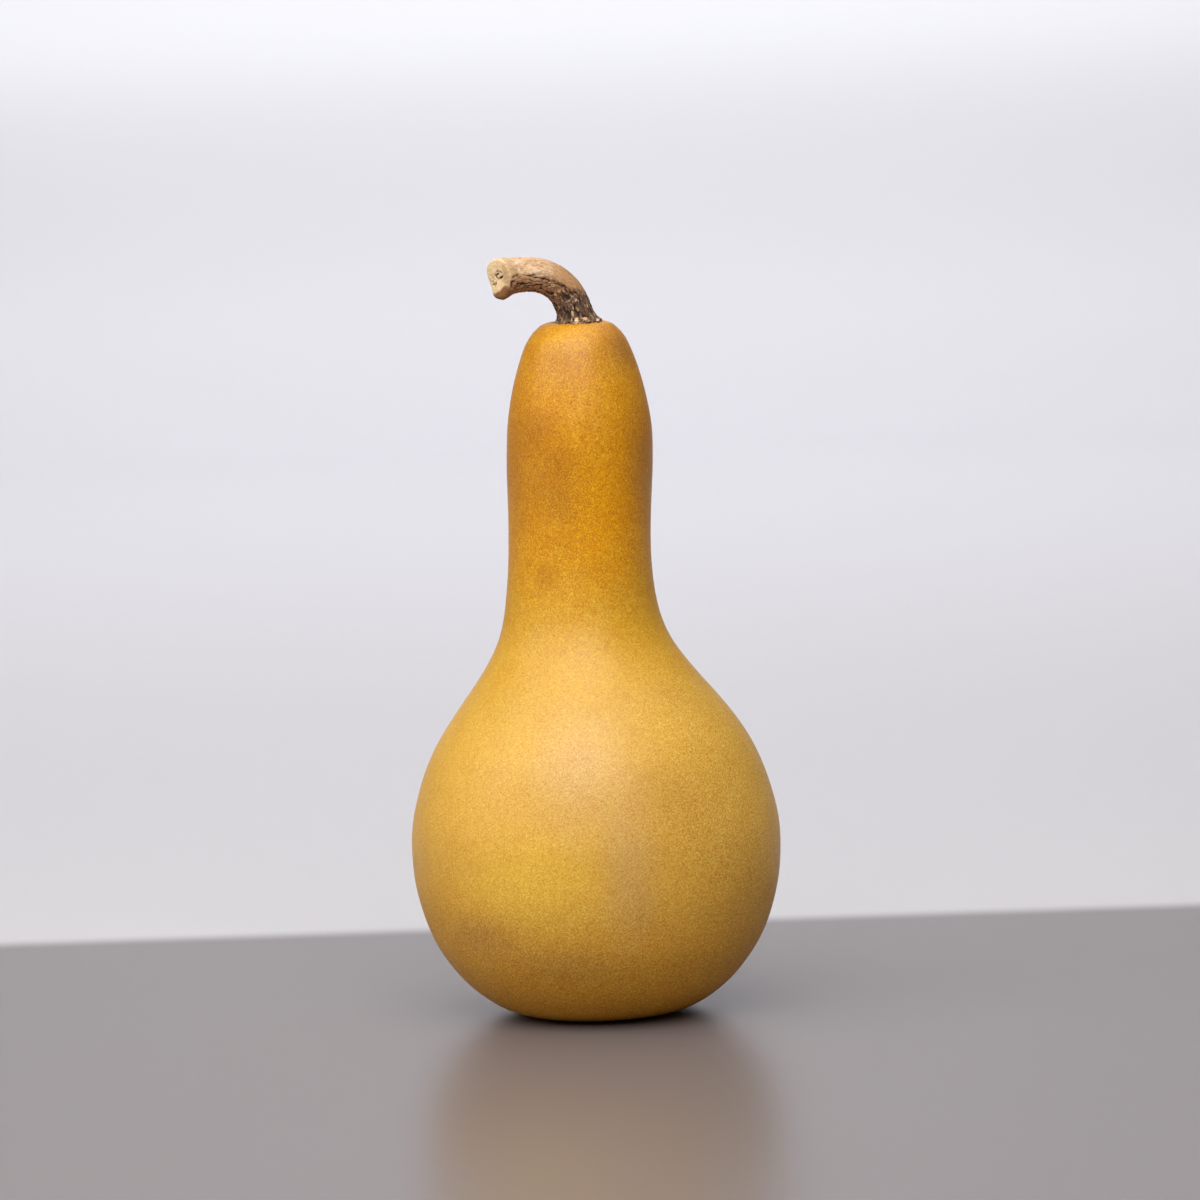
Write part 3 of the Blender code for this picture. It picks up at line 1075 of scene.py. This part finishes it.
# Each kind has its own edge: how ragged, and how many notches a metre
STAIN_AND_LIGHT_KINDS = ((RIND_STAINS_AND_PAINTED_LIGHT, (0.45, 160.0)), (CROWN_STAIN, (0.60, 900.0)), (SCAR_STAIN, (0.60, 160.0)))
print("rind stains", sum(len(rows) for rows, edge in STAIN_AND_LIGHT_KINDS))

# %% Rind material
FINE_GRAIN = 0.00042
COARSE_GRAIN = 0.0018
# Strength of the grain: between which heights, or places sideways, it goes from what to what
NECK_GRAIN = (*NECK, 0.68, 1.10)
BASE_GRAIN = (0.012, 0.045, 1.30, 0.68)
SIDE_GRAIN = (0.005, 0.035, 0.68, 1.10)
COARSE_STRENGTH = (*NECK, 0.13, 0.24)
RIND_ROUGHNESS = (0.3, 0.7, 0.40, 0.50)
RIND_SHINE = 0.38
RIND_WAX = 0.08
WAX_ROUGHNESS = 0.30
RIND_BUMP = (0.25, 0.0002)


def make_rind_material():
    material, tree, shader = new_material("waxy_rind")
    places = add_node(tree, "ShaderNodeTexCoord").outputs["Object"]
    parts = add_node(tree, "ShaderNodeSeparateXYZ", {"Vector": places}).outputs
    height = parts["Z"]
    colour = rind_base_colour(tree, places, height)
    for rows, edge in STAIN_AND_LIGHT_KINDS:
        colour = lay_stains_and_painted_light(tree, colour, places, rows, *edge)
    on_neck = to_range(tree, height, *NECK_GRAIN)
    on_base = to_range(tree, height, *BASE_GRAIN)
    on_side = to_range(tree, parts["X"], *SIDE_GRAIN)
    strength = arithmetic(tree, "MAXIMUM", arithmetic(tree, "MAXIMUM", on_neck, on_base), on_side)
    colour, fine_height = speckled(tree, colour, places, FINE_GRAIN, strength)
    strength = to_range(tree, height, *COARSE_STRENGTH)
    colour, coarse_height = speckled(tree, colour, places, COARSE_GRAIN, strength)
    looks = {
        "Base Color": colour,
        "Roughness": to_range(tree, coarse_height, *RIND_ROUGHNESS, smooth=False),
        "Specular IOR Level": RIND_SHINE,
        "Coat Weight": RIND_WAX,
        "Coat Roughness": WAX_ROUGHNESS,
        "Normal": bump_normal(tree, fine_height, *RIND_BUMP),
    }
    wire(tree, shader, looks)
    return material


rind.data.materials.append(make_rind_material())
print("rind material", rind.data.materials[0].name)

# %% [markdown]
# ## The finish of the stalk
#
# Dry bark is matt. On the upper side it is a pale tan, the lower flank and the foot are dark
# brown with tan flakes between the creases, and the cut face is pale and yellowish with pits.
# The creases, the notch and the pits are painted near black as the shade in them, and the
# lower part of the cut and its lip carry painted shade. The mesh already knows where the
# creases and the cut are, so the material reads those, and the straightened places make the
# grain run along the stalk.

# %% Stalk colours
TAN_COLOUR = (0.61, 0.370, 0.195)
PALE_TAN = (0.81, 0.560, 0.345)
GOLDEN_TAN = (0.46, 0.230, 0.085)
STREAK_BROWN = (0.31, 0.150, 0.062)
BARK_TAN = (0.62, 0.330, 0.160)
BARK_BROWN = (0.35, 0.165, 0.076)
PAINTED_CREASE_SHADE = (0.030, 0.016, 0.010)
FOOT_BROWN = (0.105, 0.062, 0.039)
SHADE_BROWN = (0.090, 0.050, 0.029)
FLAKE_COLOUR = (0.74, 0.460, 0.260)
YELLOW_FLAKE = (0.80, 0.580, 0.250)
ORANGE_FLAKE = (0.82, 0.470, 0.200)
WHITE_FLAKE = (0.95, 0.740, 0.600)
CUT_COLOUR = (0.96, 0.710, 0.385)
CUT_TAN = (0.88, 0.610, 0.340)
RIM_TAN = (0.62, 0.390, 0.195)
# Olive brown of the cut's blotches, also used as painted shade on the cut's lower part
CUT_OLIVE_AND_SHADE = (0.56, 0.330, 0.140)
# The lip is browner and also lies in shade as the knuckle turns down: brown with painted shade
LIP_BROWN_AND_SHADE = (0.21, 0.085, 0.022)
PAINTED_PIT_SHADE = (0.050, 0.022, 0.008)
# Blotches: size, cover, softness, seed and perhaps strength
TAN_BLOTCHES = (0.0014, 0.52, 0.18, 3.0)
STREAKS = (0.0006, 0.42, 0.07, 21.0, 0.45)
UNEVEN_BARK = (0.0015, 0.50, 0.12, 8.0, 0.70)
FLAKES = (0.0005, 0.43, 0.06, 14.0, 0.58)
FOOT_FLAKES = (0.0009, 0.44, 0.05, 30.0, 0.70)
CUT_BLOTCHES = (0.0014, 0.45, 0.14, 5.0, 0.25)
LIP_BLOTCHES = (0.0022, 0.50, 0.30, 17.0, 1.6 * MM)
# Ranges: between which straightened places the share of a colour goes from what to what
DULL_NEAR_CUT = (24.5 * MM, 27.0 * MM, 0.0, 0.65)
GOLDEN_NEAR_FOOT = (12.0 * MM, 20.0 * MM, 0.85, 0.0)
BROWN_BELOW = (-3.2 * MM, -2.0 * MM, 1.0, 0.0)
BROWN_NEAR_FOOT = (13.0 * MM, 18.0 * MM, 1.0, 0.0)
BROWN_STARTS = (0.45, 1.15)
DARK_FOOT = (5.0 * MM, 15.5 * MM, 0.92, 0.0)
FLAKY_FOOT = (0.0, 2.6 * MM, 1.0, 0.0)
TAN_ON_CUT = (-1.0 * MM, 1.8 * MM, 1.0, 0.0)
TAN_RIM = (-4.0 * MM, -2.4 * MM, 0.9, 0.0)
# The next two ranges paint shade on the lower part of the cut and on its lip
SHADE_BELOW = (-4.2 * MM, -3.4 * MM, 0.85, 0.0)
LIP_BELOW = (-5.3 * MM, -4.3 * MM, 0.95, 0.0)
LIP_SLANT = 0.25
# Painted shade, and larger flakes and marks of the bark: place and reach in millimetres, colour,
# strength
BARK_MARKS = (
    ((-3.4, -4.6, 189.7), (1.3, 2.5, 1.7), SHADE_BROWN, 0.85),
    ((-3.9, -4.0, 185.6), (1.5, 2.5, 1.9), SHADE_BROWN, 0.70),
    ((-12.3, -7.5, 194.9), (2.6, 2.5, 0.7), TAN_COLOUR, 0.60),
    ((-7.0, -5.8, 195.0), (0.95, 2.2, 0.45), FLAKE_COLOUR, 0.75),
    ((-8.6, -5.7, 193.0), (0.6, 2.2, 0.4), FLAKE_COLOUR, 0.70),
    ((-6.5, -5.2, 192.7), (0.7, 2.2, 0.35), FLAKE_COLOUR, 0.85),
    ((-5.0, -4.9, 191.1), (0.6, 2.2, 1.0), BARK_TAN, 0.90),
    ((-5.95, -4.6, 190.5), (1.0, 2.2, 0.55), BARK_TAN, 0.85),
    ((-1.75, -4.5, 190.1), (0.8, 2.2, 0.85), BARK_TAN, 0.75),
    ((-2.2, -4.5, 188.8), (0.5, 2.2, 0.5), FLAKE_COLOUR, 0.75),
    ((-0.6, -4.4, 188.7), (0.5, 2.2, 0.6), FLAKE_COLOUR, 0.70),
    ((-1.6, -4.5, 185.4), (0.6, 2.5, 1.05), YELLOW_FLAKE, 0.70),
    ((-0.6, -4.9, 183.7), (0.85, 2.5, 0.8), YELLOW_FLAKE, 0.95),
    ((1.65, -4.6, 183.9), (0.85, 2.5, 0.55), ORANGE_FLAKE, 0.90),
    ((4.9, -3.2, 183.3), (0.55, 2.0, 0.45), WHITE_FLAKE, 0.95),
    ((-5.45, 0.2, 183.0), (0.7, 2.0, 0.4), WHITE_FLAKE, 0.70),
)
JAGGED_EDGE = (1.1, 1400.0)
MARK_SHARPNESS = (0.15, 0.45)
print("bark marks", len(BARK_MARKS))

# %% Colours of the upper side, of the flank and of the cut


def upper_bark_colour(tree, along_grain, along):
    """Upper bark: tan and pale patches, golden towards the foot, duller at the cut, with streaks."""
    return lay_over(
        tree,
        TAN_COLOUR,
        (blotched(tree, along_grain, *TAN_BLOTCHES), PALE_TAN),
        (to_range(tree, along, *DULL_NEAR_CUT), RIM_TAN),
        (to_range(tree, along, *GOLDEN_NEAR_FOOT), GOLDEN_TAN),
        (blotched(tree, along_grain, *STREAKS), STREAK_BROWN),
    )


def flank_colour(tree, along_grain, upward, along):
    """Shrunken bark: tan brown above, darker below, almost black at the foot, with tan flakes."""
    low_down = to_range(tree, upward, *BROWN_BELOW)
    deep = arithmetic(tree, "MAXIMUM", low_down, to_range(tree, along, *BROWN_NEAR_FOOT))
    deep = arithmetic(tree, "ADD", deep, blotched(tree, along_grain, *UNEVEN_BARK))
    return lay_over(
        tree,
        BARK_TAN,
        (to_range(tree, deep, *BROWN_STARTS), BARK_BROWN),
        (to_range(tree, along, *DARK_FOOT), FOOT_BROWN),
        (blotched(tree, along_grain, *FLAKES), FLAKE_COLOUR),
    )


def cut_colour(tree, straight, upward, sideways, crease):
    """The cut: pale yellow, browner towards the viewer's side, with olive blotches, painted shade over
    its lower part and its lip, and pits painted dark as the shade in them.
    """
    low = arithmetic(tree, "MULTIPLY_ADD", sideways, LIP_SLANT, upward)
    lip = arithmetic(tree, "SUBTRACT", low, blotched(tree, straight, *LIP_BLOTCHES))
    return lay_over(
        tree,
        CUT_COLOUR,
        (to_range(tree, sideways, *TAN_ON_CUT), CUT_TAN),
        (to_range(tree, sideways, *TAN_RIM), RIM_TAN),
        (blotched(tree, straight, *CUT_BLOTCHES), CUT_OLIVE_AND_SHADE),
        (to_range(tree, low, *SHADE_BELOW), CUT_OLIVE_AND_SHADE),
        (to_range(tree, lip, *LIP_BELOW), LIP_BROWN_AND_SHADE),
        (crease, PAINTED_PIT_SHADE),
    )


# %% Stalk material
GRAIN_PRESS = (1.0, 1.0, 0.45)
BARK_GRAIN = 0.0004
BARK_GRAIN_STRENGTH = (0.80, 0.45)
BARK_ROUGHNESS = (0.80, 0.66)
BARK_SHINE = 0.35
BARK_BUMP = (0.5, 0.0003)


def read_attribute(tree, name):
    return add_node(tree, "ShaderNodeAttribute", attribute_name=name).outputs


def make_stalk_material():
    material, tree, shader = new_material("dry_bark")
    places = add_node(tree, "ShaderNodeTexCoord").outputs["Object"]
    straight = read_attribute(tree, "straight")["Vector"]
    crease, on_cut, flank = (read_attribute(tree, name)["Fac"] for name in ("crease", "on_cut", "flank"))
    along_grain = vector_arithmetic(tree, "MULTIPLY", straight, GRAIN_PRESS)[0]
    upward, sideways, along = add_node(tree, "ShaderNodeSeparateXYZ", {"Vector": straight}).outputs
    upper = upper_bark_colour(tree, along_grain, along)
    lower = flank_colour(tree, along_grain, upward, along)
    at_foot = to_range(tree, along, *FLAKY_FOOT)
    flakes = arithmetic(tree, "MULTIPLY", blotched(tree, straight, *FOOT_FLAKES), at_foot)
    colour = lay_over(tree, upper, (flank, lower), (flakes, FLAKE_COLOUR))
    colour = lay_stains_and_painted_light(tree, colour, places, BARK_MARKS, *JAGGED_EDGE, MARK_SHARPNESS)
    cut = cut_colour(tree, straight, upward, sideways, crease)
    # Creases, cracks and the notch are painted near black: painted shade in them
    colour = lay_over(tree, colour, (crease, PAINTED_CREASE_SHADE), (on_cut, cut))
    strength = to_range(tree, on_cut, 0.0, 1.0, *BARK_GRAIN_STRENGTH)
    colour, grain_height = speckled(tree, colour, along_grain, BARK_GRAIN, strength)
    looks = {
        "Base Color": colour,
        "Roughness": to_range(tree, along, 0.0, stalk_length, *BARK_ROUGHNESS, smooth=False),
        "Specular IOR Level": BARK_SHINE,
        "Normal": bump_normal(tree, grain_height, *BARK_BUMP),
    }
    wire(tree, shader, looks)
    return material


stalk.data.materials.append(make_stalk_material())
print("stalk material", stalk.data.materials[0].name)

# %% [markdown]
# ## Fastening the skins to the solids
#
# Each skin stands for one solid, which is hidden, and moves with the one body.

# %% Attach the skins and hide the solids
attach(rind, "root")
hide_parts("gourd")
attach(stalk, "root")
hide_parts("stem")
